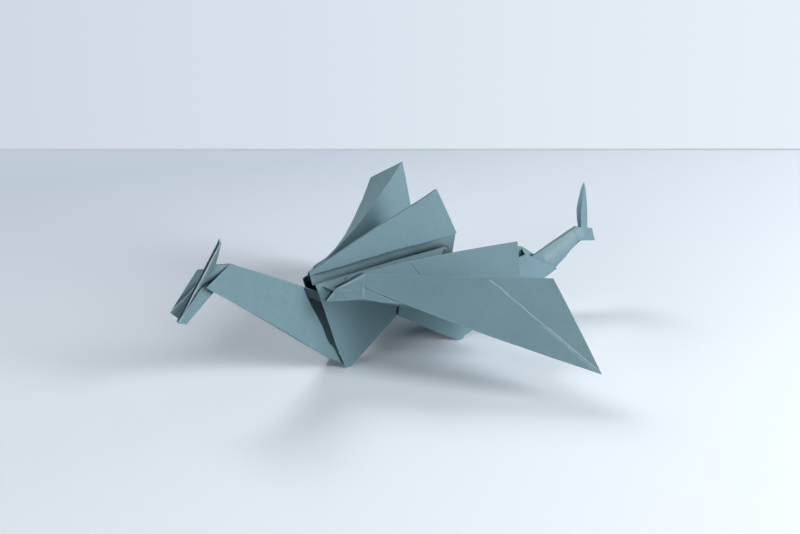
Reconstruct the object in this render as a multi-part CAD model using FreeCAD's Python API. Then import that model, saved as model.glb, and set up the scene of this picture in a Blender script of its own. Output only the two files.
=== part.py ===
import FreeCAD, Part
import math
import os
from FreeCAD import Vector

# Origami dragon: one square sheet, folded into a long-necked dragon with two
# pleated wings.  Millimetres and degrees.  The head points to -X, the tail to
# +X, the near wing to -Y, the far wing to +Y, and +Z is up.  A heading is an
# angle in plan, from +X towards the wing's own side; a rise is above level.

# ---- paper ----
PAPER = 0.3                 # one leaf: the plies of the folded sheet pressed together
FOLD = 0.9                  # width of the blunt edge that a tight fold leaves
STATIONS = 6                # spans along each long fold
MITRE_LIMIT = 2.2           # longest corner offset, in half thicknesses

# ---- body ----
SHOULDER_HEIGHT = 35.0
SHOULDER_WIDTH = 10.0       # between the two shoulders
SHOULDER_OVERHANG = 10.0    # shoulders ahead of the front feet
FEET_APART = 51.5           # front feet to rear feet
FOOT_LENGTH = 2.4           # flat stretch under each foot
FRONT_FOOT_WIDTH = 12.8     # outside to outside, across the body
REAR_FOOT_WIDTH = 19.6
BELLY_HEIGHT = 13.2         # point where the belly folds meet
BELLY_SETBACK = 26.0        # that point behind the front feet
BELLY_SLIT = 1.2            # open cut between the front and rear halves
BELLY_WIDTH = 3.0           # across the body, at the belly point
BODY_AHEAD = 0.017          # front edges start ahead of the wing fold, as a share of it
BODY_SPLIT = 0.41           # where the halves meet under the wing fold, as a share of it
SPLIT_GAP = 0.02            # and the share that they leave open there

# ---- neck ----
SPINE_RISE = 26.9
SPINE_LENGTH = 77.0         # belly point to the turn of the head
THROAT_RISE = 39.0
THROAT_LENGTH = 63.0        # front foot to the throat
THROAT_WIDTH = 4.0
NAPE_REACH = 10.3           # corner of the neck's open end, ahead of the throat fold
NAPE_DROP = 5.4
NAPE_SPREAD = 0.65          # how far it stands out from the middle, as a share of THROAT_WIDTH

# The neck's near side is open beside the front edge of the body: its mouth.  The far side
# runs on, and bulges out behind the opening.  Each number belongs to one line of the neck's
# side, from the throat up to the spine, and is the place of the mouth's edge, as a share of
# the way from the body's bottom fold to the neck's end.
NECK_MOUTH = (0.02, 0.085, 0.225, 0.32, 0.43, 0.515, 0.585)
MOUTH_FLAP = 0.5            # the turned-in flap behind the mouth, as a share of that way
NECK_BULGE = 4.2            # far side's distance from the middle, opposite the mouth

# ---- head, measured down from the horn tip along the bill, and across it ----
BILL_LENGTH = 31.8
BILL_TILT = 57.3            # bill below level
BILL_GAP = 1.5              # between the two front rims
HORN_WIDTH = 2.9
HORN_LENGTH = 8.7
HORN_AHEAD = 3.2            # horn tip ahead of the turn of the head
HORN_ABOVE = 9.8            # horn tip above the turn of the head
CHEEK_SPREAD = 5.0          # far cheek's outer edge, out from the middle

# ---- tail ----
TAIL_RISE = 12.1
TAIL_LENGTH = 66.0          # belly point to the first turn, along the spine
TAIL_EDGE_RISE = 15.6
TAIL_EDGE_LENGTH = 59.0     # rear foot to the first turn, along the open edge
TAIL_WIDTH = 4.4            # across the open edge, at the first turn
TAIL_BACK_WIDTH = 3.6       # across the spine, at the first turn
TAIL_BACK_SLANT = 1.5       # near edge of that opening below the spine, far edge above it
TAIL_SPANS = 13             # spans along it; its back is open over the last one
STEM_INSET = 5.6            # where the second stretch starts, inside the first turn
STEM_RISE = 19.0
STEM_LENGTH = 27.5          # that start to the crease before the tip
STEM_DEPTH = 6.0            # at that crease
STUB_LENGTH = 9.6           # crease to the blunt end
BLADE_LENGTH = 21.4
BLADE_LEAN = 4.0            # blade tipped back from upright
BLADE_WIDTH = 5.6
BLADE_DEPTH = 1.6           # how far its ridge stands out

# The blade's outline: share of its length, then the places of its left edge, its ridge
# and its right edge, in half widths.
BLADE_OUTLINE = (
    (0.0, -0.82, -0.72, 0.93),
    (0.29, -1.16, -0.86, 0.86),
    (0.49, -1.23, -0.78, 0.71),
    (0.71, -0.82, -0.34, 0.52),
    (0.9, -0.48, -0.16, 0.29),
)

# ---- wings: lengths are the same on both sides, angles are each wing's own ----
BASE_REACH = 87.0           # wing fold, shoulder to rump
VALLEY_REACH = 79.0
RIB_REACH = 80.0
RIDGE_REACH = 84.0
TIP_REACH = 105.0
ROOT_REACH = 17.0           # where the outer pleats start, out from the shoulder
BASE_BOW = 1.4              # wing fold arched up in its middle

# Each fold has the heading and rise of its far end.  Each root has the reach, as a
# share of ROOT_REACH, and the heading and rise of the point where that fold starts.
NEAR_WING = {
    "side": -1,
    "base": (5.2, 1.2),
    "valley": (28.5, -15.5),
    "rib": (33.0, -6.5),
    "ridge": (37.2, 2.4),
    "tip": (50.1, -12.4),
    "roots": {
        "valley": (0.55, 28.0, -27.0),
        "rib": (0.66, 33.0, -32.0),
        "ridge": (1.0, 34.5, 13.0),
        "tip": (1.0, 45.0, 0.0),
    },
    "bows": {"valley": 0.0, "rib": 0.0, "ridge": 0.0, "tip": -1.2},
}
FAR_WING = {
    "side": 1,
    "base": (15.0, 1.0),
    "valley": (23.0, -5.0),
    "rib": (27.2, 19.0),
    "ridge": (39.8, 10.8),
    "tip": (42.3, -15.0),
    "roots": {
        "valley": (0.53, 24.0, -14.0),
        "rib": (0.6, 33.0, 0.0),
        "ridge": (0.7, 43.0, 1.0),
        "tip": (0.7, 53.0, -14.0),
    },
    "bows": {"valley": 0.0, "rib": -3.0, "ridge": -7.0, "tip": -4.0},
}

# ---- middle pleats and the standing back fin ----
FIN_REACH = 63.0            # shoulder to the fin's peak
FIN_RISE = 22.3
FIN_OFFSET = 3.5            # fin's peak, towards the far side
FIN_CREASE_REACH = 66.4
FIN_CREASE_RISE = 5.0
FIN_CREASE_OFFSET = 1.0
FIN_FOOT_REACH = 66.0
FIN_FOOT_RISE = -3.0
FIN_LEDGE = 0.6             # the fin's upper panel overhangs its lower one at the crease
PLEAT_DROP = 2.0            # pleat valleys under the shoulders
TENT_LENGTH = 59.5
TENT_SLOPE = 4.6            # length by which the tent's near panel falls short of its ridge
TENT_HEIGHT = 2.8


def polar(start, length, heading, rise, side=1):
    """The point at a length, plan heading and rise from start, on one side of the body."""
    flat = length * math.cos(math.radians(rise))
    along = flat * math.cos(math.radians(heading))
    across = flat * math.sin(math.radians(heading))
    return start + Vector(along, side * across, length * math.sin(math.radians(rise)))


def between(start, end, share):
    """The point that lies the given share of the way from start to end."""
    return start + (end - start) * share


def fold_line(start, end, bow=0.0, first=0.0, last=1.0):
    """Points along a fold; bow lifts its middle, and first and last cut out a stretch of it."""
    points = []
    for step in range(STATIONS + 1):
        share = first + (last - first) * step / STATIONS
        point = between(start, end, share)
        point.z += bow * 4 * share * (1 - share)
        points.append(point)
    return points


def moved(line, across):
    """The same line, shifted across the body."""
    return [point + Vector(0, across, 0) for point in line]


class Leaf:
    """A folded stretch of paper: flat triangles that share their corners and folds."""

    def __init__(self):
        self.points = []
        self.triangles = []
        self.known = {}

    def corner(self, point):
        key = (round(point.x, 4), round(point.y, 4), round(point.z, 4))
        if key not in self.known:
            self.known[key] = len(self.points)
            self.points.append(Vector(point))
        return self.known[key]

    def panel(self, *outline):
        """A flat panel, given by its corners in order."""
        for second, third in zip(outline[1:], outline[2:]):
            triangle = tuple(self.corner(point) for point in (outline[0], second, third))
            if len(set(triangle)) == 3:
                self.triangles.append(triangle)

    def strip(self, *lines):
        """Pleats between neighbouring fold lines, each with as many points as the next."""
        for left, right in zip(lines, lines[1:]):
            for step in range(len(left) - 1):
                self.panel(left[step], right[step], right[step + 1])
                self.panel(left[step], right[step + 1], left[step + 1])

    def turned_alike(self):
        """The triangles, turned so that neighbours agree on which face is up."""
        owners = {}
        for number, triangle in enumerate(self.triangles):
            for a, b in zip(triangle, triangle[1:] + triangle[:1]):
                owners.setdefault(frozenset((a, b)), []).append(number)
        done = {}
        for first in range(len(self.triangles)):
            if first in done:
                continue
            done[first] = self.triangles[first]
            queue = [first]
            while queue:
                triangle = done[queue.pop()]
                for a, b in zip(triangle, triangle[1:] + triangle[:1]):
                    for other in owners[frozenset((a, b))]:
                        if other in done:
                            continue
                        facing = self.triangles[other]
                        edges = list(zip(facing, facing[1:] + facing[:1]))
                        done[other] = facing[::-1] if (a, b) in edges else facing
                        queue.append(other)
        return [done[number] for number in range(len(self.triangles))]

    def normal(self, triangle):
        a, b, c = (self.points[number] for number in triangle)
        return (b - a).cross(c - a).normalize()

    def spread(self, number, triangle):
        """The angle that a triangle fills at one of its corners."""
        others = [self.points[other] - self.points[number] for other in triangle if other != number]
        return others[0].getAngle(others[1])

    def mitre(self, number, faces):
        """The step from a corner that lands one unit off every panel that meets there."""
        total = FreeCAD.Matrix()
        total.scale(0, 0, 0)
        total.A44 = 1
        target = Vector()
        slack = 0.0
        for triangle in faces:
            n = self.normal(triangle)
            weight = self.spread(number, triangle)
            slack += weight * 1e-3
            target += n * weight
            total.A11 += weight * n.x * n.x
            total.A12 += weight * n.x * n.y
            total.A13 += weight * n.x * n.z
            total.A22 += weight * n.y * n.y
            total.A23 += weight * n.y * n.z
            total.A33 += weight * n.z * n.z
        total.A21 = total.A12
        total.A31 = total.A13
        total.A32 = total.A23
        total.A11 += slack
        total.A22 += slack
        total.A33 += slack
        step = total.inverse().multVec(target)
        if step.Length > MITRE_LIMIT:
            step = step * (MITRE_LIMIT / step.Length)
        return step

    def solid(self, thickness=PAPER):
        """The leaf with its thickness, half on each side of its panels."""
        triangles = self.turned_alike()
        meeting = {}
        for triangle in triangles:
            for number in triangle:
                meeting.setdefault(number, []).append(triangle)
        steps = {number: self.mitre(number, faces) * (thickness / 2) for number, faces in meeting.items()}
        above = {number: self.points[number] + step for number, step in steps.items()}
        below = {number: self.points[number] - step for number, step in steps.items()}
        edges = {}
        for triangle in triangles:
            for a, b in zip(triangle, triangle[1:] + triangle[:1]):
                edges[(a, b)] = triangle
        outlines = []
        for a, b, c in triangles:
            outlines.append([above[a], above[b], above[c]])
            outlines.append([below[c], below[b], below[a]])
        for a, b in edges:
            if (b, a) not in edges:
                outlines.append([above[b], above[a], below[a]])
                outlines.append([above[b], below[a], below[b]])
        faces = [Part.Face(Part.makePolygon(outline + outline[:1])) for outline in outlines]
        body = Part.makeSolid(Part.makeShell(faces))
        if body.Volume < 0:
            body.reverse()
        return body


# ---- reference points that several parts of the sheet share ----
def shoulder(side):
    return Vector(-SHOULDER_OVERHANG, side * SHOULDER_WIDTH / 2, SHOULDER_HEIGHT)


BELLY = Vector(BELLY_SETBACK, 0, BELLY_HEIGHT)
HEAD_TURN = polar(BELLY, SPINE_LENGTH, 180, SPINE_RISE)
TAIL_TURN = polar(BELLY, TAIL_LENGTH, 0, TAIL_RISE)


def wing_base(wing):
    """The fold between a wing and the body, from shoulder to rump."""
    start = shoulder(wing["side"])
    return start, polar(start, BASE_REACH, *wing["base"], wing["side"])


def wing_root(wing, fold):
    """Where one of a wing's folds starts, close to the shoulder."""
    share, heading, rise = wing["roots"][fold]
    return polar(shoulder(wing["side"]), ROOT_REACH * share, heading, rise, wing["side"])


def wing_folds(wing):
    """A wing's folds from its leading edge in to the body, each from its root out."""
    reaches = {"tip": TIP_REACH, "ridge": RIDGE_REACH, "rib": RIB_REACH, "valley": VALLEY_REACH}
    start, rump = wing_base(wing)
    folds = []
    for fold, reach in reaches.items():
        end = polar(start, reach, *wing[fold], wing["side"])
        folds.append(fold_line(wing_root(wing, fold), end, wing["bows"][fold]))
    return folds + [fold_line(start, rump, BASE_BOW)]


# ---- the pleated top: near wing, middle pleats, back fin, far wing ----
def pleat_front(across, up=0.0):
    """A point on the short zigzag between the two shoulders."""
    return Vector(-SHOULDER_OVERHANG + 0.3, across * SHOULDER_WIDTH / 10, SHOULDER_HEIGHT + up)


def fin_lines():
    """The fin's folds: near foot, crease ledge, the two edges of its blunt top, far foot."""
    front = pleat_front(0)
    aside = Vector(0, FIN_OFFSET, 0)
    peak = polar(front, FIN_REACH, 0, FIN_RISE) + aside
    crease_end = polar(front, FIN_CREASE_REACH, 0, FIN_CREASE_RISE) + Vector(0, FIN_CREASE_OFFSET, 0)
    foot_end = polar(front, FIN_FOOT_REACH, 0, FIN_FOOT_RISE) + aside - Vector(0, 0.5, 0)
    near_top = fold_line(pleat_front(2.3, 2.2), peak)
    crease = fold_line(pleat_front(1.7, 1.5), crease_end)
    return [
        fold_line(pleat_front(0.2, -PLEAT_DROP), foot_end),
        moved(crease, FIN_LEDGE),
        crease,
        near_top,
        moved(near_top, FOLD),
        fold_line(pleat_front(3.9, -PLEAT_DROP + 0.4), foot_end + Vector(0, 4.2, -1.0)),
    ]


def tent_lines():
    """The small tent between the near wing and the fin: its near foot and its ridge."""
    near_front = pleat_front(-3.2, -PLEAT_DROP)
    near_end = near_front + Vector(TENT_LENGTH - TENT_SLOPE, 0, 0.4)
    ridge_front = pleat_front(-1.5, -PLEAT_DROP / 2)
    ridge_end = pleat_front(0, -PLEAT_DROP) + Vector(TENT_LENGTH, 0, TENT_HEIGHT + 0.5)
    return [fold_line(near_front, near_end), fold_line(ridge_front, ridge_end)]


def hem(leaf, wing, edge):
    """The under-layer that shows at a wing's root, below the first stretch of its edge."""
    side = wing["side"]
    start = shoulder(side)
    crown = wing_root(wing, "ridge")
    under = Vector(0.5, -side * 0.6, -0.7) * (PAPER * 1.2)
    middle = edge[0] + under
    end = edge[1] + under
    low = [
        polar(start, ROOT_REACH * 0.41, 61.0, -3.0, side),
        polar(start, ROOT_REACH * 0.46, 102.0, -31.0, side),
        polar(start, ROOT_REACH * 0.68, 70.0, -19.0, side),
        polar(start, ROOT_REACH, 55.5, -11.0, side),
        polar(start, ROOT_REACH * 1.39, 51.5, -10.0, side),
    ]
    leaf.panel(crown, edge[0], middle)
    leaf.panel(edge[0], edge[1], end, middle)
    leaf.panel(crown, low[0], low[1], low[2])
    leaf.panel(crown, low[2], low[3])
    leaf.panel(crown, low[3], middle)
    leaf.panel(middle, low[3], low[4])
    leaf.panel(middle, low[4], end)


def pleated_top():
    leaf = Leaf()
    near = wing_folds(NEAR_WING)
    far = wing_folds(FAR_WING)
    leaf.strip(*near, *tent_lines(), *fin_lines(), *far[::-1])
    hem(leaf, NEAR_WING, near[0])
    return leaf.solid()


# ---- body halves, each with the limb that folds up inside it ----
def bent_line(first, second, last):
    """A line with a corner after its first point."""
    rest = STATIONS - 1
    return [first] + [between(second, last, step / rest) for step in range(STATIONS)]


def panel_lines(start, end, spans):
    """Lines spread evenly from one line to another, for a panel that is bent or twisted."""
    lines = []
    for step in range(spans + 1):
        lines.append([between(a, b, step / spans) for a, b in zip(start, end)])
    return lines


def body_side(leaf, wing, stretch, foot_x, foot_width, forward):
    """One side of a body half: its outer panel and the bottom fold.  Returns the inner edge."""
    side = wing["side"]
    start, rump = wing_base(wing)
    top = fold_line(start, rump, BASE_BOW, *stretch)
    toe = Vector(foot_x + forward * FOOT_LENGTH / 3, side * foot_width / 2, 0)
    heel = toe - Vector(forward * FOOT_LENGTH, 0, 0)
    belly = Vector(BELLY.x + forward * BELLY_SLIT / 2, side * BELLY_WIDTH / 2, BELLY.z)
    bottom = bent_line(toe, heel, belly)
    inside = moved(bottom, -side * FOLD)
    leaf.strip(*panel_lines(top, bottom, 3))
    leaf.strip(bottom, inside)
    return inside


def mouth_point(low, high, share, side):
    """Where a line of the neck's side meets the mouth's edge, or the bulge opposite to it."""
    point = between(low, high, share)
    if side > 0:
        point.y = NECK_BULGE
    return point


def neck_lines(inside, neck_end, side):
    """A neck side in two stretches: lines up to the mouth, then lines of the neck itself."""
    mouth = []
    for low, high, share in zip(inside, neck_end, NECK_MOUTH[:-1]):
        mouth.append(mouth_point(low, high, share, side))
    mouth.append(between(inside[-1], neck_end[-1], NECK_MOUTH[-1]))
    flap = [between(low, edge, MOUTH_FLAP) for low, edge in zip(inside, mouth)]
    return panel_lines(inside, flap, 2), panel_lines(mouth, neck_end, 5)


def front_half():
    leaf = Leaf()
    spines = []
    for wing in (NEAR_WING, FAR_WING):
        side = wing["side"]
        turn = HEAD_TURN + Vector(0, side * FOLD / 2, 0)
        throat = polar(Vector(), THROAT_LENGTH, 180, THROAT_RISE) + Vector(0, side * THROAT_WIDTH / 2, 0)
        nape = turn + Vector(-NAPE_REACH, side * THROAT_WIDTH * NAPE_SPREAD, -NAPE_DROP)
        stretch = (-BODY_AHEAD, BODY_SPLIT - SPLIT_GAP / 2)
        inside = body_side(leaf, wing, stretch, 0, FRONT_FOOT_WIDTH, -1)
        flap, neck = neck_lines(inside, bent_line(throat, nape, turn), side)
        leaf.strip(*flap)
        leaf.strip(*neck)
        if side > 0:
            leaf.strip(flap[-1], neck[0])
        spines.append([line[-1] for line in flap + neck])
    leaf.strip(*spines)
    return leaf.solid()


def tail_turn_line(side):
    """The edge of the tail's first stretch, from its open edge up to its spine."""
    low = polar(Vector(FEET_APART, 0, 0), TAIL_EDGE_LENGTH, 0, TAIL_EDGE_RISE)
    low += Vector(0, side * TAIL_WIDTH / 2, 0)
    return fold_line(low, TAIL_TURN + Vector(0, side * TAIL_BACK_WIDTH / 2, side * TAIL_BACK_SLANT))


def stem_lines(side):
    """The tail's second stretch, from inside the first turn to its blunt end."""
    turn = tail_turn_line(side)
    back = turn[0] + Vector(-0.4, -side * FOLD, -0.1)
    root = TAIL_TURN + Vector(0.62 * STEM_INSET, side * FOLD / 2, -0.8 * STEM_INSET)
    crease_top = polar(root, STEM_LENGTH, 0, STEM_RISE) + Vector(0, side * 0.3, 0)
    crease_low = crease_top + Vector(1.4, side * 0.6, -STEM_DEPTH)
    end_top = crease_top + Vector(STUB_LENGTH, -side * 0.3, -2.4)
    end_low = crease_low + Vector(STUB_LENGTH, -side * 0.5, -1.8)
    inner = fold_line(back, root)
    crease = fold_line(crease_low, crease_top)
    return [turn] + panel_lines(inner, crease, 4) + [fold_line(end_low, end_top)]


def rear_half():
    leaf = Leaf()
    spines = []
    stems = []
    for wing in (NEAR_WING, FAR_WING):
        side = wing["side"]
        stretch = (0.985, BODY_SPLIT + SPLIT_GAP / 2)
        inside = body_side(leaf, wing, stretch, FEET_APART, REAR_FOOT_WIDTH, 1)
        tail = panel_lines(inside, tail_turn_line(side), TAIL_SPANS)
        leaf.strip(*tail)
        spines.append([line[-1] for line in tail[:-1]])
        stem = stem_lines(side)
        leaf.strip(*stem)
        stems.append([line[-1] for line in stem[1:]])
    leaf.strip(*spines)
    leaf.strip(*stems)
    return leaf.solid()


# ---- head: two layers folded face to face, with a cheek on each side ----
def head_point(down, across, aside):
    """A point on the head: down the bill from the horn tip, across it towards the neck."""
    tip = HEAD_TURN + Vector(-HORN_AHEAD, 0, HORN_ABOVE)
    tilt = math.radians(BILL_TILT)
    bill = Vector(-math.cos(tilt), 0, -math.sin(tilt))
    back = Vector(math.sin(tilt), 0, -math.cos(tilt))
    return tip + bill * down + back * across + Vector(0, aside, 0)


def head_layers():
    """The horn, forehead and bill: near and far layers, joined along the horn's back."""
    leaf = Leaf()
    backs = []
    for side in (-1, 1):
        rim = side * BILL_GAP / 2
        spine = side * FOLD / 2
        rim_top = head_point(1.9, 0.5, rim)
        horn_top = head_point(1.1, 1.2, spine)
        horn_foot = head_point(HORN_LENGTH, HORN_WIDTH, spine)
        brow = head_point(5.9, 9.4, side * 0.34)
        gorge = head_point(15.4, 8.0, side * 0.34)
        jaw = head_point(17.5, 3.2, spine)
        rim_middle = head_point(15.9, 0.2, rim)
        snout = head_point(BILL_LENGTH, -0.3, rim)
        chin = head_point(BILL_LENGTH - 0.5, 1.6, rim * 0.8)
        leaf.panel(rim_top, horn_top, horn_foot)
        leaf.panel(rim_top, horn_foot, rim_middle)
        leaf.panel(horn_foot, jaw, rim_middle)
        leaf.panel(horn_foot, brow, gorge, jaw)
        leaf.panel(rim_middle, jaw, chin, snout)
        backs.append([rim_top, horn_top, horn_foot])
    (near_rim, near_top, near_foot), (far_rim, far_top, far_foot) = backs
    leaf.panel(near_top, far_top, far_foot, near_foot)
    peak = head_point(0, 0, 0)
    leaf.panel(near_rim, near_top, peak)
    leaf.panel(far_rim, far_top, peak)
    leaf.panel(near_top, far_top, peak)
    return leaf.solid()


def near_cheek():
    leaf = Leaf()
    aside = -(BILL_GAP / 2 + 0.55)
    leaf.panel(
        head_point(17.7, 1.6, aside),
        head_point(15.8, 2.8, aside),
        head_point(13.2, 6.4, aside + 0.25),
        head_point(17.6, 6.6, aside),
        head_point(29.3, 2.9, aside),
        head_point(31.1, 2.6, aside),
        head_point(31.5, -0.5, aside + 0.4),
    )
    return leaf.solid()


def far_cheek():
    leaf = Leaf()
    inner = BILL_GAP / 2 - 0.1
    brow_out = head_point(12.9, 0.4, CHEEK_SPREAD - 0.5)
    brow_in = head_point(11.3, 0.6, inner)
    fold_in = head_point(18.2, 0.6, inner)
    corner = head_point(30.2, -1.5, CHEEK_SPREAD)
    snout = head_point(30.6, 0.3, inner)
    leaf.panel(brow_out, brow_in, fold_in)
    leaf.panel(brow_out, fold_in, corner)
    leaf.panel(fold_in, snout, corner)
    return leaf.solid()


# ---- tail tip: an upright blade with a ridge down its near face ----
def blade():
    leaf = Leaf()
    crease_top = stem_lines(-1)[-2][-1]
    base = Vector(crease_top.x + STUB_LENGTH * 0.52, 0, crease_top.z - 2.0)
    lean = math.radians(BLADE_LEAN)
    up = Vector(-math.sin(lean), 0, math.cos(lean))
    left = []
    ridge = []
    right = []
    half = BLADE_WIDTH / 2
    for share, left_edge, crest, right_edge in BLADE_OUTLINE:
        middle = base + up * BLADE_LENGTH * share
        left.append(middle + Vector(half * left_edge, -BLADE_DEPTH * left_edge / 2, 0))
        ridge.append(middle + Vector(half * crest, -BLADE_DEPTH * right_edge / 2, 0))
        right.append(middle + Vector(half * right_edge, BLADE_DEPTH * right_edge / 3, 0))
    leaf.strip(left, ridge, right)
    tip = base + up * BLADE_LENGTH
    leaf.panel(left[-1], ridge[-1], tip)
    leaf.panel(ridge[-1], right[-1], tip)
    return leaf.solid()


def folded_sheet():
    """The whole sheet as one solid, standing on its feet with its middle over the origin."""
    pieces = [pleated_top(), front_half(), rear_half(), head_layers(), near_cheek(), far_cheek(), blade()]
    whole = pieces[0].multiFuse(pieces[1:])
    box = whole.BoundBox
    whole.translate(Vector(-(box.XMin + box.XMax) / 2, -(box.YMin + box.YMax) / 2, -box.ZMin))
    return whole


os.makedirs("parts", exist_ok=True)
folded_sheet().exportStep("parts/folded_sheet.step")
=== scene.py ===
import bmesh
import bpy
import math
import numpy as np
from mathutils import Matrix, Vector, noise
from mathutils.bvhtree import BVHTree


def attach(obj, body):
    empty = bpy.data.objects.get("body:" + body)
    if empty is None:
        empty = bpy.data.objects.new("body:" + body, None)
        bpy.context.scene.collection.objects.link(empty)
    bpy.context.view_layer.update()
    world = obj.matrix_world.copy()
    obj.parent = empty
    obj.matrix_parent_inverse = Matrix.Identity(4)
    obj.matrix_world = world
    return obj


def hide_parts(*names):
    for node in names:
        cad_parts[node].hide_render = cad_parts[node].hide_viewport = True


# Origami dragon folded from one sheet of matte grey-blue paper.  Metres, +Z up.
MM = 0.001

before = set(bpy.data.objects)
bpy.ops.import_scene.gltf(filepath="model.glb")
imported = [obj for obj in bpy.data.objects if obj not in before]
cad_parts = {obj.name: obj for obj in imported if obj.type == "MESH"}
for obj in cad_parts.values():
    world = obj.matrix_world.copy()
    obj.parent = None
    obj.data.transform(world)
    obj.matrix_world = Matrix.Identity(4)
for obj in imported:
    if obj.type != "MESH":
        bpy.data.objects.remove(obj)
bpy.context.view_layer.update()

FOLD_ANGLE = math.radians(20)   # sharper than this is a fold or a cut edge
WELD = 0.002 * MM               # corners nearer than this become one
FINE = 0.7 * MM                 # mesh size beside folds and edges
COARSE = 2.2 * MM               # and inside the panels
SLACK = 1.4                     # an edge is split when it is this many times the mesh size
CROWN = 0.62 * MM               # longest edge across the blunt crown of a fold
REFINE_ROUNDS = 9               # most times that long edges are halved

PANEL_ROUNDS = 60               # how often the panels are relaxed, and how far each time
PANEL_PULL = 0.6
FOLD_ROUNDS = 14                # and the lines of the folds
FOLD_PULL = 0.4

WARP_SEED = 5                   # Blender's vector noise starts from the clock without one
WARP_START = Vector((3.1, 7.7, 1.9))
WARPS = ((26 * MM, 0.30 * MM), (9 * MM, 0.09 * MM))     # how wide the dents are, and how deep
WARP_HOLD = 6 * MM              # the warp grows from nothing over this height above the table


# ---------------------------------------------------------------- the sheet
def fold_edges(bm):
    """Marks folds and cut edges as sharp, everything else as smooth."""
    for face in bm.faces:
        face.smooth = True
    for edge in bm.edges:
        faces = edge.link_faces
        edge.smooth = len(faces) == 2 and faces[0].normal.angle(faces[1].normal, 0) < FOLD_ANGLE


def mark_wear(bm):
    """Gives the outward folds and the cut edges their share of rubbing, in the attribute wear."""
    layer = bm.verts.layers.float.new("wear")
    for edge in bm.edges:
        if edge.smooth or not edge.is_convex:
            continue
        for vert in edge.verts:
            vert[layer] = 1.0


def refine(bm):
    """Splits long mesh edges, down to FINE beside the folds and COARSE elsewhere."""
    for _ in range(REFINE_ROUNDS):
        sharp = {v for e in bm.edges if not e.smooth for v in e.verts}
        long_edges = []
        for edge in bm.edges:
            ends = (edge.verts[0] in sharp) + (edge.verts[1] in sharp)
            limit = (FINE if ends else COARSE) * SLACK
            if ends == 2 and edge.smooth:
                limit = CROWN
            if edge.calc_length() > limit:
                long_edges.append(edge)
        if not long_edges:
            break
        bmesh.ops.subdivide_edges(bm, edges=long_edges, cuts=1)
        bmesh.ops.triangulate(bm, faces=[f for f in bm.faces if len(f.verts) > 3])


def relax(places, edges, sharp):
    """Rounds each panel between its folds, and each fold between its corners."""
    folds = edges[sharp]
    count = np.bincount(folds.ravel(), minlength=len(places))
    inside = count == 0
    along = count == 2
    degree = np.bincount(edges.ravel(), minlength=len(places)).astype(float)[:, None]
    for turn in range(max(PANEL_ROUNDS, FOLD_ROUNDS)):
        if turn < PANEL_ROUNDS:
            total = np.zeros_like(places)
            np.add.at(total, edges[:, 0], places[edges[:, 1]])
            np.add.at(total, edges[:, 1], places[edges[:, 0]])
            mean = total / np.maximum(degree, 1)
            places[inside] += PANEL_PULL * (mean - places)[inside]
        if turn < FOLD_ROUNDS:
            total = np.zeros_like(places)
            np.add.at(total, folds[:, 0], places[folds[:, 1]])
            np.add.at(total, folds[:, 1], places[folds[:, 0]])
            places[along] += FOLD_PULL * (total / 2 - places)[along]
    return places


def paper_mesh(node):
    """A fine mesh of the folded sheet, with its folds and cut edges marked as sharp."""
    bm = bmesh.new()
    bm.from_mesh(node.data)
    bmesh.ops.remove_doubles(bm, verts=bm.verts, dist=WELD)
    bm.normal_update()
    fold_edges(bm)
    refine(bm)
    mark_wear(bm)
    mesh = bpy.data.meshes.new("paper_sheet")
    bm.to_mesh(mesh)
    bm.free()
    mesh.validate()                     # takes out faces that lie on each other
    return mesh


def piece(name, mesh, material):
    """Puts a mesh in the scene as a piece that stays with the object."""
    made = bpy.data.objects.new(name, mesh)
    bpy.context.scene.collection.objects.link(made)
    mesh.materials.clear()
    mesh.materials.append(material)
    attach(made, "root")
    return made


# ---------------------------------------------------------------- materials
class Nodes:
    """Short helpers around one node tree."""

    def __init__(self, material):
        self.tree = material.node_tree
        self.tree.nodes.clear()

    def add(self, kind, values=None, **settings):
        """A new node with these settings, and for each input its value or what feeds it."""
        made = self.tree.nodes.new(kind)
        for key, value in settings.items():
            setattr(made, key, value)
        for key, value in (values or {}).items():
            if isinstance(value, bpy.types.NodeSocket):
                self.tree.links.new(value, made.inputs[key])
            else:
                made.inputs[key].default_value = value
        return made

    def math(self, operation, a, b=0.0, clamp=False):
        made = self.add("ShaderNodeMath", {0: a, 1: b}, operation=operation, use_clamp=clamp)
        return made.outputs[0]

    def vector(self, operation, a, b=(0, 0, 0)):
        return self.add("ShaderNodeVectorMath", {0: a, 1: b}, operation=operation)

    def spread(self, value, low, high, out_low=0.0, out_high=1.0):
        """Takes low..high to out_low..out_high, and holds the ends beyond."""
        made = self.add(
            "ShaderNodeMapRange",
            {"Value": value, "From Min": low, "From Max": high, "To Min": out_low, "To Max": out_high},
        )
        return made.outputs[0]

    def noise(self, where, scale, detail=3.0, rough=0.5):
        made = self.add(
            "ShaderNodeTexNoise",
            {"Vector": where, "Scale": scale, "Detail": detail, "Roughness": rough},
        )
        return made.outputs["Fac"]

    def mix(self, share, a, b):
        """Colour a, giving way to colour b as the share goes from 0 to 1."""
        made = self.add("ShaderNodeMix", {0: share, 6: a, 7: b}, data_type="RGBA")
        return made.outputs[2]


def new_material(name):
    made = bpy.data.materials.new(name)
    made.use_nodes = True
    return made


PAPER_COLOUR = (0.200, 0.318, 0.365, 1)
WORN_COLOUR = (0.40, 0.51, 0.55, 1)             # folds and edges where the dye is rubbed off
RUBBED_AND_LIT_COLOUR = (0.62, 0.70, 0.73, 1)            # creases and rims rubbed down to the fibre, and the tail's band of painted light
CREASE_SHADE_COLOUR = (0.115, 0.185, 0.215, 1)       # painted shade along creases
PAINTED_SHADE_COLOUR = (0.008, 0.018, 0.022, 1)       # painted shade inside tight folds and crevices, and in the head's dark bands
OCCLUSION_SHADE_DEPTH = 0.95            # how much of that painted shade the most closed-in paper takes
OCCLUSION_SHADE_LOW = 0.28              # share of the view closed off where the painted shade begins
OCCLUSION_SHADE_HIGH = 0.64             # and where it is darkest
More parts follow.
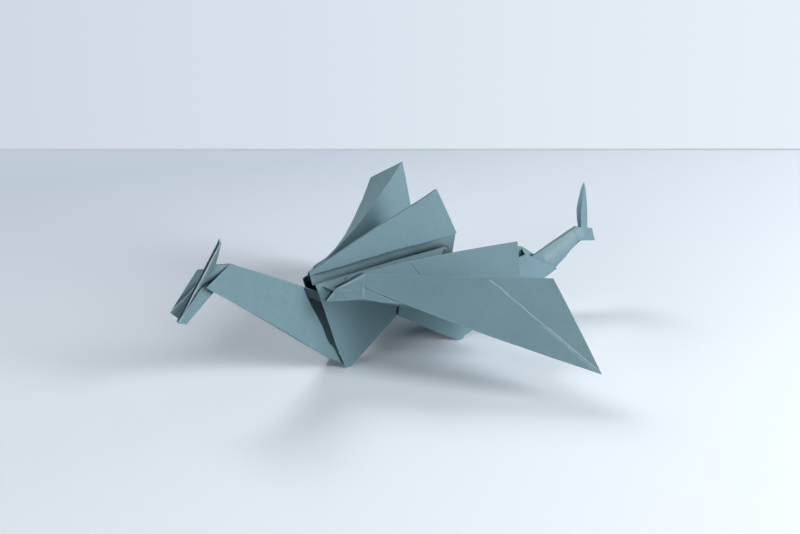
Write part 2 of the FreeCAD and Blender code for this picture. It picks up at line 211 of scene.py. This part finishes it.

# Lines on the paper, in millimetres: both ends, the way their panel faces, the half width of
# the line, and how strongly it shows.  White ones are rubbed creases and rims, and one band of
# painted light on the tail; dark ones are painted shade along creases; shaded ones are near-black
# painted shade.
RUBBED_AND_LIT_LINES = (
    # the outer part of the near wing
    ((5.0, -37.0, 38.2), (22.2, -79.0, 12.6), (-0.49, -0.6, 0.63), 0.24, 0.75),
    ((12.4, -56.5, 25.9), (20.9, -77.0, 13.0), (-0.49, -0.6, 0.63), 0.17, 0.45),
    # the hem under the near wing's root, and its rim
    ((-31.7, -9.6, 37.9), (-34.1, -13.4, 32.2), (-0.44, -0.62, 0.65), 0.16, 0.25),
    ((-40.3, -7.0, 34.1), (-32.4, -11.7, 35.1), (-0.46, -0.58, 0.67), 0.14, 0.25),
    ((-32.4, -11.7, 35.1), (-25.2, -21.0, 30.8), (-0.34, -0.58, 0.74), 0.14, 0.22),
    ((-40.4, -6.1, 34.7), (-30.1, -9.3, 38.9), (-0.46, -0.6, 0.66), 0.24, 0.6),
    ((-40.4, -6.1, 34.7), (-45.0, -6.5, 31.1), (-0.46, -0.6, 0.66), 0.24, 0.55),
    # the tail's middle stretch, made paler all along as painted light
    ((68.5, 4.1, 20.5), (90.0, 4.0, 31.0), (-0.05, -1.0, 0.06), 3.2, 0.24),
    # the head: the rim from the horn to the bill, and the far cheek's fold
    ((-80.2, 4.4, 56.1), (-88.0, 4.4, 44.5), (0.08, -1.0, -0.05), 0.22, 0.7),
    ((-88.0, 4.4, 44.5), (-97.0, 4.4, 31.4), (0.08, -1.0, -0.05), 0.2, 0.6),
    ((-88.9, 5.9, 42.4), (-97.2, 10.2, 33.4), (-0.76, -0.38, 0.52), 0.28, 0.75),
)
CREASE_SHADE_LINES = (
    # painted shade at the hem's corner, on the pleat on the back, beside the near wing's crease, and at
    # the tail's end
    ((-39.4, -8.3, 33.7), (-38.8, -9.9, 31.0), (-0.46, -0.59, 0.67), 0.15, 0.5),
    ((-13.6, 7.9, 42.2), (-10.2, 8.2, 35.6), (0.06, -1.0, 0.1), 0.16, 0.5),
    ((5.3, -36.6, 38.3), (22.5, -78.6, 12.7), (-0.49, -0.6, 0.63), 0.15, 0.3),
    ((84.6, 4.2, 31.6), (86.9, 3.8, 26.2), (-0.06, -0.99, 0.09), 0.3, 0.55),
)
DEEP_SHADE_LINES = (
    # painted shade across the near wing's root and its hem
    ((-6.2, -4.0, 36.7), (-5.0, -7.6, 33.0), (-0.13, -0.7, 0.7), 0.16, 0.7),
    ((-32.0, -9.9, 37.4), (-34.4, -13.4, 32.2), (-0.44, -0.62, 0.65), 0.13, 0.5),
    # painted shade in the crevice above the hem
    ((-38.7, -1.9, 33.5), (-26.1, -1.4, 36.7), (-0.12, -0.8, 0.59), 0.46, 0.95),
    ((-41.6, -0.3, 28.3), (-38.4, -0.5, 32.3), (-0.09, -1.0, 0.01), 0.8, 0.95),
    # painted shade on the head: beside the near rim, and inside the far cheek
    ((-79.2, 4.4, 54.6), (-87.4, 4.4, 42.4), (0.08, -1.0, -0.05), 1.3, 0.4),
    ((-88.4, 6.2, 43.4), (-96.3, 10.4, 34.9), (-0.76, -0.38, 0.52), 0.8, 0.65),
    ((-89.5, 5.6, 40.6), (-96.4, 7.6, 32.4), (-0.76, -0.38, 0.52), 1.4, 0.5),
)


CREASE_SWAY = 0.2 * MM          # how far a line strays from straight
CREASE_SOFTNESS = 1.6           # a line fades out at this many half widths
CREASE_RUN_OUT = 0.3 * MM       # it runs this far past each end
CREASE_RUN_IN = 0.6 * MM        # and is at full strength this far inside
CREASE_NEAR = 0.8 * MM          # paper this near the line's own panel shows it in full
CREASE_FAR = 1.4 * MM           # and paper beyond this not at all


def crease_and_shade_line(nodes, where, start, end, facing, half_width, strength):
    """A mask that shows one line, a little uneven, on the panel it lies in; the same mask draws rubbed
    creases, painted light and painted shade.
    """
    start = Vector(start) * MM
    run = Vector(end) * MM - start
    length = run.length
    run.normalize()
    across = run.cross(Vector(facing)).normalized()
    facing = across.cross(run)
    offset = nodes.vector("SUBTRACT", where, tuple(start)).outputs[0]
    along = nodes.vector("DOT_PRODUCT", offset, tuple(run)).outputs["Value"]
    side = nodes.vector("DOT_PRODUCT", offset, tuple(across)).outputs["Value"]
    deep = nodes.vector("DOT_PRODUCT", offset, tuple(facing)).outputs["Value"]
    sway = nodes.spread(nodes.noise(where, 150.0, 2.0), 0.3, 0.7, -CREASE_SWAY, CREASE_SWAY)
    side = nodes.math("ABSOLUTE", nodes.math("ADD", side, sway))
    mask = nodes.spread(side, 0.0, half_width * MM * CREASE_SOFTNESS, strength, 0.0)
    mask = nodes.math("MULTIPLY", mask, nodes.spread(along, -CREASE_RUN_OUT, CREASE_RUN_IN))
    tail = nodes.spread(along, length - CREASE_RUN_IN, length + CREASE_RUN_OUT, 1.0, 0.0)
    mask = nodes.math("MULTIPLY", mask, tail)
    near = nodes.spread(nodes.math("ABSOLUTE", deep), CREASE_NEAR, CREASE_FAR, 1.0, 0.0)
    return nodes.math("MULTIPLY", mask, near)


def creases_and_shade_lines(nodes, where, lines):
    """The strongest of several such lines."""
    total = crease_and_shade_line(nodes, where, *lines[0])
    for line in lines[1:]:
        total = nodes.math("MAXIMUM", total, crease_and_shade_line(nodes, where, *line))
    return total


def paper_material():
    """Matte paper: cloudy, mottled and fibrous, worn on its folds, paler along rubbed creases, with
    painted light on the tail's middle stretch and painted shade where it is shut in and along creases.
    """
    material = new_material("grey_blue_paper")
    nodes = Nodes(material)
    where = nodes.add("ShaderNodeTexCoord").outputs["Object"]
    cloud = nodes.noise(where, 28.0, 3.0, 0.55)
    mottle = nodes.noise(where, 420.0, 4.0, 0.6)
    stretched = nodes.add("ShaderNodeMapping", {"Vector": where, "Scale": (1.0, 0.35, 0.7)}).outputs[0]
    fibre = nodes.noise(stretched, 2600.0, 2.0, 0.6)
    clouds = nodes.spread(cloud, 0.3, 0.7, -0.05, 0.05)
    specks = nodes.spread(mottle, 0.3, 0.7, -0.035, 0.035)
    threads = nodes.spread(fibre, 0.35, 0.65, -0.03, 0.03)
    uneven = nodes.math("ADD", nodes.math("ADD", clouds, specks), threads)
    level = nodes.math("ADD", uneven, 1.0)
    tint = nodes.vector("SCALE", PAPER_COLOUR[:3])
    nodes.tree.links.new(level, tint.inputs["Scale"])
    wear = nodes.add("ShaderNodeAttribute", attribute_name="wear").outputs["Fac"]
    patchy = nodes.spread(nodes.noise(where, 260.0, 3.0, 0.6), 0.38, 0.62)
    rubbed = nodes.spread(patchy, 0.0, 1.0, 0.12, 0.6)
    worn = nodes.math("MULTIPLY", nodes.math("POWER", wear, 3.0), rubbed, clamp=True)
    colour = nodes.mix(worn, tint.outputs[0], WORN_COLOUR)
    # painted shade: darker where near paper closes off more of the view
    occlusion_share = nodes.add("ShaderNodeAttribute", attribute_name="occlusion_share").outputs["Fac"]
    occlusion_shade = nodes.spread(occlusion_share, OCCLUSION_SHADE_LOW, OCCLUSION_SHADE_HIGH, 0.0, OCCLUSION_SHADE_DEPTH)
    colour = nodes.mix(occlusion_shade, colour, PAINTED_SHADE_COLOUR)
    # painted shade along creases, also pressed into the bump
    crease_shade = creases_and_shade_lines(nodes, where, CREASE_SHADE_LINES)
    broken = nodes.spread(patchy, 0.0, 1.0, 0.55, 1.0)
    # paler rubbed creases and rims, and the tail's band of painted light
    rubbed_and_lit = nodes.math("MULTIPLY", creases_and_shade_lines(nodes, where, RUBBED_AND_LIT_LINES), broken)
    colour = nodes.mix(crease_shade, colour, CREASE_SHADE_COLOUR)
    # near-black painted shade in crevices and on the head
    colour = nodes.mix(creases_and_shade_lines(nodes, where, DEEP_SHADE_LINES), colour, PAINTED_SHADE_COLOUR)
    colour = nodes.mix(rubbed_and_lit, colour, RUBBED_AND_LIT_COLOUR)
    height = nodes.math("ADD", nodes.math("MULTIPLY", mottle, 0.5), nodes.math("MULTIPLY", fibre, 0.5))
    relief = nodes.math("SUBTRACT", rubbed_and_lit, crease_shade)
    height = nodes.math("ADD", height, nodes.math("MULTIPLY", relief, 1.5))
    bump = nodes.add("ShaderNodeBump", {"Strength": 0.35, "Distance": 0.05 * MM, "Height": height})
    rough = nodes.spread(mottle, 0.3, 0.7, 0.78, 0.92)
    values = {"Base Color": colour, "Roughness": rough, "Normal": bump.outputs[0]}
    shader = nodes.add("ShaderNodeBsdfPrincipled", values)
    shader.inputs["Specular IOR Level"].default_value = 0.28
    out = nodes.add("ShaderNodeOutputMaterial")
    nodes.tree.links.new(shader.outputs[0], out.inputs["Surface"])
    return material


# Soft bends pressed into the panels, in millimetres: the middle of the bend, the way it
# runs, the way it stands out, half its length, its width and its height.
CRUMPLES = (
    # the neck
    ((-69.4, 3.1, 37.4), (-0.25, -0.2, -0.95), (0.09, -0.98, 0.18), 5.5, 1.7, -0.38),
    ((-72.2, 3.2, 38.4), (-0.2, -0.2, -0.96), (0.09, -0.98, 0.18), 5.0, 1.3, 0.22),
    ((-58.8, 4.4, 37.6), (-0.1, -0.2, -0.97), (0.09, -0.98, 0.18), 2.6, 0.55, 0.3),
    ((-55.0, 3.6, 32.5), (-0.3, -0.25, -0.92), (0.09, -0.98, 0.18), 6.0, 1.2, 0.3),
    ((-61.5, 2.8, 31.0), (-0.1, -0.2, -0.97), (0.09, -0.98, 0.18), 5.0, 1.5, 0.22),
    ((-64.5, 2.6, 33.5), (-0.4, -0.2, -0.9), (0.09, -0.98, 0.18), 4.0, 1.1, -0.2),
    ((-48.0, 2.3, 20.5), (-0.5, -0.2, -0.84), (0.1, -0.98, 0.19), 5.0, 1.6, 0.25),
    # the tail
    ((71.8, 4.1, 21.4), (-0.36, 0.0, 0.93), (-0.04, -1.0, 0.05), 3.2, 1.0, 0.3),
    ((75.4, 4.0, 20.6), (-0.28, 0.0, 0.96), (-0.04, -1.0, 0.05), 3.2, 0.9, -0.28),
    ((79.2, 3.8, 22.2), (-0.36, 0.0, 0.93), (-0.04, -1.0, 0.05), 3.2, 1.0, 0.34),
    ((82.6, 3.7, 23.4), (-0.4, 0.0, 0.92), (-0.05, -1.0, 0.07), 3.2, 0.9, -0.28),
    ((86.0, 3.7, 24.6), (-0.33, 0.0, 0.94), (-0.05, -1.0, 0.07), 3.0, 0.9, 0.25),
    ((58.6, 3.1, 21.6), (-0.45, 0.0, 0.89), (0.0, -0.99, 0.14), 5.0, 1.0, 0.3),
    # the hem, the near wing, and the pleat on the back
    ((-39.6, -8.0, 33.5), (0.5, -0.6, -0.6), (-0.46, -0.58, 0.67), 2.4, 0.7, 0.35),
    ((12.0, -46.0, 33.0), (0.3, -0.74, -0.6), (-0.49, -0.6, 0.63), 22.0, 6.0, 0.35),
    ((-14.6, 7.8, 40.0), (0.05, 0.0, 1.0), (0.06, -1.0, 0.0), 4.0, 0.7, 0.3),
    # the foot of the opening between neck and body, pressed shut
    ((-36.9, 0.0, 4.6), (-0.4, 0.12, 0.91), (1.0, -0.1, 0.0), 6.2, 0.6, 1.7),
)


CRUMPLE_DEPTH = 3.0             # millimetres either side of the panel that a bend takes along


def crumple(places, centre, along, out, reach, width, height):
    """The push of one soft bend on every place."""
    offset = (places - np.array(centre) * MM) / MM
    along = np.array(along) / np.linalg.norm(along)
    out = np.array(out) / np.linalg.norm(out)
    across = np.cross(out, along)
    run = offset @ along / reach
    side = offset @ across / width
    deep = offset @ out / CRUMPLE_DEPTH
    share = np.exp(-side ** 2 - run ** 4 - deep ** 4)
    return share[:, None] * out * height * MM


# How closed off each point's view is, which sets how much painted shade its colour takes
SHELTER_RAYS = 24               # looks out from each point of the sheet
SHELTER_TURN = 2.399963         # the golden angle, between one look and the next
SHELTER_START = 0.08 * MM       # they start this far off the paper
SHELTER_REACH = 14 * MM         # paper nearer than this shelters the point
SHELTER_FADE = 0.6              # and paper at that distance does so this much less
SHELTER_ROUNDS = 3              # how often the shares are evened out between neighbours


def mark_occlusion_share(mesh, edges, sharp):
    """Gives each point the share of its view that near paper closes off, as the attribute that sets the
    painted shade in the paper's colour.
    """
    tree = BVHTree.FromPolygons([v.co for v in mesh.vertices], [p.vertices for p in mesh.polygons])
    looks = []
    for i in range(SHELTER_RAYS):
        height = math.sqrt((i + 0.5) / SHELTER_RAYS)
        flat = math.sqrt(1 - height * height)
        turn = i * SHELTER_TURN
        looks.append(Vector((flat * math.cos(turn), flat * math.sin(turn), height)))
    shares = []
    for vert in mesh.vertices:
        aim = Vector((0, 0, 1)).rotation_difference(vert.normal)
        start = vert.co + vert.normal * SHELTER_START
        share = 0.0
        for look in looks:
            gap = tree.ray_cast(start, aim @ look, SHELTER_REACH)[3]
            if gap is not None:
                share += 1 - SHELTER_FADE * gap / SHELTER_REACH
        shares.append(share / SHELTER_RAYS)
    shares = np.array(shares)
    soft = edges[~sharp]
    degree = np.maximum(np.bincount(soft.ravel(), minlength=len(shares)), 1)
    for _ in range(SHELTER_ROUNDS):
        total = np.zeros_like(shares)
        np.add.at(total, soft[:, 0], shares[soft[:, 1]])
        np.add.at(total, soft[:, 1], shares[soft[:, 0]])
        shares = np.where(total > 0, 0.5 * shares + 0.5 * total / degree, shares)
    layer = mesh.attributes.new("occlusion_share", "FLOAT", "POINT")
    layer.data.foreach_set("value", shares)


def warp(places):
    """The small uneven dents of handled paper on every place, with the feet held flat."""
    noise.seed_set(WARP_SEED)
    push = np.zeros_like(places)
    for size, depth in WARPS:
        for i, place in enumerate(places):
            dent = noise.noise_vector(Vector(place / size) + WARP_START)
            push[i] += np.array(dent) * depth
    hold = np.clip(places[:, 2] / WARP_HOLD, 0, 1)[:, None]
    return push * hold


def build_sheet():
    """The one visible piece, which stands for the CAD's folded sheet."""
    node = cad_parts["folded_sheet"]
    mesh = paper_mesh(node)
    places = np.empty(len(mesh.vertices) * 3)
    mesh.vertices.foreach_get("co", places)
    places = places.reshape(-1, 3)
    edges = np.empty(len(mesh.edges) * 2, dtype=np.int64)
    mesh.edges.foreach_get("vertices", edges)
    edges = edges.reshape(-1, 2)
    sharp = np.array([edge.use_edge_sharp for edge in mesh.edges])
    places = relax(places, edges, sharp)
    for centre, along, out, reach, width, height in CRUMPLES:
        places = places + crumple(places, centre, along, out, reach, width, height)
    places = places + warp(places)
    mesh.vertices.foreach_set("co", places.ravel())
    mesh.update()
    mark_occlusion_share(mesh, edges, sharp)
    made = piece("paper_sheet", mesh, paper_material())
    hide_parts("folded_sheet")
    print("triangles", len(mesh.polygons))


# ---------------------------------------------------------------- table, wall, light, camera
VIEW_TURN = math.radians(34.6)          # the camera looks this much to the right of +Y
FORWARD = Vector((math.sin(VIEW_TURN), math.cos(VIEW_TURN), 0))
RIGHT = Vector((math.cos(VIEW_TURN), -math.sin(VIEW_TURN), 0))


def flat_sheet(name, corners, material):
    """A flat part of the surroundings."""
    mesh = bpy.data.meshes.new(name)
    mesh.from_pydata(corners, [], [tuple(range(len(corners)))])
    made = bpy.data.objects.new(name, mesh)
    bpy.context.scene.collection.objects.link(made)
    mesh.materials.append(material)


def seen_directly(nodes):
    """1 where the camera looks, also in a reflection or through glass, and 0 for the light."""
    path = nodes.add("ShaderNodeLightPath")
    seen = nodes.math("MAXIMUM", path.outputs["Is Camera Ray"], path.outputs["Is Glossy Ray"])
    return nodes.math("MAXIMUM", seen, path.outputs["Is Transmission Ray"])


TABLE_SHADE_TONE = (0.47, 0.51, 0.575, 1)      # painted shade: the table behind and to the left
TABLE_LIT_TONE = (0.83, 0.855, 0.875, 1)  # painted light: the table in front and to the right
TABLE_FLECK = (0.5, 0.52, 0.6, 1)
TABLE_RISE_ACROSS = 0.55                # how fast the painted light brightens it to the right
TABLE_RISE_AWAY = -1.2                  # and away from the camera, where the painted shade dims it
TABLE_RISE_REACH = 0.4                  # bright where the two add up to this, dim at minus this
TABLE_GAIN = 1.62                       # how much paler the table shows than it lights
PLAIN_TONE = (0.80, 0.87, 0.935, 1)     # what the far table fades to, where it is seen
PLAIN_CENTRE = FORWARD * 0.12           # by distance from here
PLAIN_START = 0.35
PLAIN_END = 0.5


def table_material():
    """A pale table with painted light, brighter to the front and right, which fades to a plain tone far
    off.
    """
    material = new_material("table_top")
    nodes = Nodes(material)
    where = nodes.add("ShaderNodeTexCoord").outputs["Object"]
    across = nodes.vector("DOT_PRODUCT", where, tuple(RIGHT)).outputs["Value"]
    away = nodes.vector("DOT_PRODUCT", where, tuple(FORWARD)).outputs["Value"]
    rise_across = nodes.math("MULTIPLY", across, TABLE_RISE_ACROSS)
    rise = nodes.math("ADD", rise_across, nodes.math("MULTIPLY", away, TABLE_RISE_AWAY))
    # painted light and shade across the table
    colour = nodes.mix(nodes.spread(rise, -TABLE_RISE_REACH, TABLE_RISE_REACH), TABLE_SHADE_TONE, TABLE_LIT_TONE)
    fleck = nodes.noise(where, 90.0, 3.0, 0.5)
    colour = nodes.mix(nodes.spread(fleck, 0.3, 0.7, 0.0, 0.05), colour, TABLE_FLECK)
    shown = nodes.vector("SCALE", colour)
    gain = nodes.spread(seen_directly(nodes), 0.0, 1.0, 1.0, TABLE_GAIN)
    nodes.tree.links.new(gain, shown.inputs["Scale"])
    shader = nodes.add("ShaderNodeBsdfDiffuse", {"Color": shown.outputs[0], "Roughness": 0.3})
    offset = nodes.vector("SUBTRACT", where, tuple(PLAIN_CENTRE)).outputs[0]
    far = nodes.spread(nodes.vector("LENGTH", offset).outputs["Value"], PLAIN_START, PLAIN_END)
    plain = nodes.add("ShaderNodeEmission", {"Color": PLAIN_TONE, "Strength": 1.0})
    share = nodes.math("MULTIPLY", far, seen_directly(nodes))
    both = nodes.add("ShaderNodeMixShader", {0: share, 1: shader.outputs[0], 2: plain.outputs[0]})
    out = nodes.add("ShaderNodeOutputMaterial")
    nodes.tree.links.new(both.outputs[0], out.inputs["Surface"])
    return material


EDGE_TONE = (0.55, 0.60, 0.67, 1)


def edge_material():
    """The table's far edge, a plain grey that gives no light."""
    material = new_material("table_edge")
    nodes = Nodes(material)
    shader = nodes.add("ShaderNodeEmission", {"Color": EDGE_TONE, "Strength": seen_directly(nodes)})
    out = nodes.add("ShaderNodeOutputMaterial")
    nodes.tree.links.new(shader.outputs[0], out.inputs["Surface"])
    return material


WALL_SHADE_TONE = (0.63, 0.69, 0.775, 1)       # painted shade: the backdrop on the left
WALL_LIT_TONE = (0.80, 0.88, 0.945, 1)    # painted light: the backdrop on the right
WALL_REACH = 0.34                       # sideways part of the line of sight where it is steady
ROOM_LIGHT = (0.90, 0.95, 1.0, 1)
ROOM_LEVEL = 0.04


def make_room():
    """A pale backdrop where the camera looks, with painted light brighter to the right, and a weak even
    light on the object.
    """
    world = bpy.data.worlds.new("room")
    bpy.context.scene.world = world
    world.use_nodes = True
    nodes = Nodes(world)
    direction = nodes.add("ShaderNodeTexCoord").outputs["Generated"]
    across = nodes.vector("DOT_PRODUCT", direction, tuple(RIGHT)).outputs["Value"]
    # painted light and shade across the backdrop
    wall = nodes.mix(nodes.spread(across, -WALL_REACH, WALL_REACH), WALL_SHADE_TONE, WALL_LIT_TONE)
    backdrop = nodes.add("ShaderNodeBackground", {"Color": wall, "Strength": 1.0})
    light = nodes.add("ShaderNodeBackground", {"Color": ROOM_LIGHT, "Strength": ROOM_LEVEL})
    seen = seen_directly(nodes)
    both = nodes.add("ShaderNodeMixShader", {0: seen, 1: light.outputs[0], 2: backdrop.outputs[0]})
    out = nodes.add("ShaderNodeOutputWorld")
    nodes.tree.links.new(both.outputs[0], out.inputs["Surface"])


TABLE_SIDE = 2.5                        # how far the table runs to each side of the object
TABLE_FRONT = -3.0                      # towards the camera and past it
TABLE_BACK = 0.316                      # and away from it
EDGE_DEPTH = 0.0022                     # its far edge shows as a thin grey line


def beside(across, away, up=0.0):
    """A place so far to the right of the object, beyond it and up, as the camera sees it."""
    return tuple(RIGHT * across + FORWARD * away + Vector((0, 0, up)))


def make_table():
    """The table that the object stands on, and its far edge."""
    top = [
        beside(-TABLE_SIDE, TABLE_FRONT),
        beside(TABLE_SIDE, TABLE_FRONT),
        beside(TABLE_SIDE, TABLE_BACK),
        beside(-TABLE_SIDE, TABLE_BACK),
    ]
    edge = [
        beside(-TABLE_SIDE, TABLE_BACK, -EDGE_DEPTH / 2),
        beside(TABLE_SIDE, TABLE_BACK, -EDGE_DEPTH / 2),
        beside(TABLE_SIDE, TABLE_BACK, EDGE_DEPTH / 2),
        beside(-TABLE_SIDE, TABLE_BACK, EDGE_DEPTH / 2),
    ]
    flat_sheet("table", top, table_material())
    flat_sheet("table_edge", edge, edge_material())


DAYLIGHT = (0.95, 0.985, 1.0)

# Soft boxes aimed at the object: the way to each, turned from +X, and its height, both in
# degrees, then its side in metres, its watts, and how far off it stands in metres.
LAMPS = (
    ("front_soft_box", -64, 12, 0.3, 2.0, 0.62),
    ("right_soft_box", -60, 33, 0.5, 7.4, 1.3),
    ("left_soft_box", -170, 12, 0.5, 4.4, 1.3),
    ("back_soft_box", 93, 42, 0.45, 7.0, 1.3),
    ("side_soft_box", 10, 30, 0.25, 0.42, 0.6),
)


def lamp(name, turn, rise, size, watts, distance):
    """One soft box that faces the object's foot."""
    data = bpy.data.lights.new(name, "AREA")
    data.shape = "SQUARE"
    data.size = size
    data.energy = watts
    data.color = DAYLIGHT
    made = bpy.data.objects.new(name, data)
    bpy.context.scene.collection.objects.link(made)
    turn = math.radians(turn)
    rise = math.radians(rise)
    flat = math.cos(rise)
    away = Vector((math.cos(turn) * flat, math.sin(turn) * flat, math.sin(rise)))
    made.location = away * distance
    made.rotation_mode = "QUATERNION"
    made.rotation_quaternion = away.to_track_quat("Z", "Y")


CAMERA_PLACE = (-0.23259, -0.32481, 0.17833)    # in front of the near wing, towards the head
CAMERA_TILT = math.radians(20)          # how far it looks down


def make_camera():
    """The camera, level from side to side and looking a little down on the near wing."""
    data = bpy.data.cameras.new("camera")
    data.lens = 50.0
    data.sensor_width = 36.0
    data.clip_start = 0.01
    data.clip_end = 20.0
    camera = bpy.data.objects.new("camera", data)
    bpy.context.scene.collection.objects.link(camera)
    camera.location = CAMERA_PLACE
    look = FORWARD * math.cos(CAMERA_TILT) - Vector((0, 0, math.sin(CAMERA_TILT)))
    camera.rotation_mode = "QUATERNION"
    camera.rotation_quaternion = look.to_track_quat("-Z", "Y")
    bpy.context.scene.camera = camera


build_sheet()
make_table()
for values in LAMPS:
    lamp(*values)
make_room()
make_camera()
bpy.context.scene.view_settings.view_transform = "Standard"
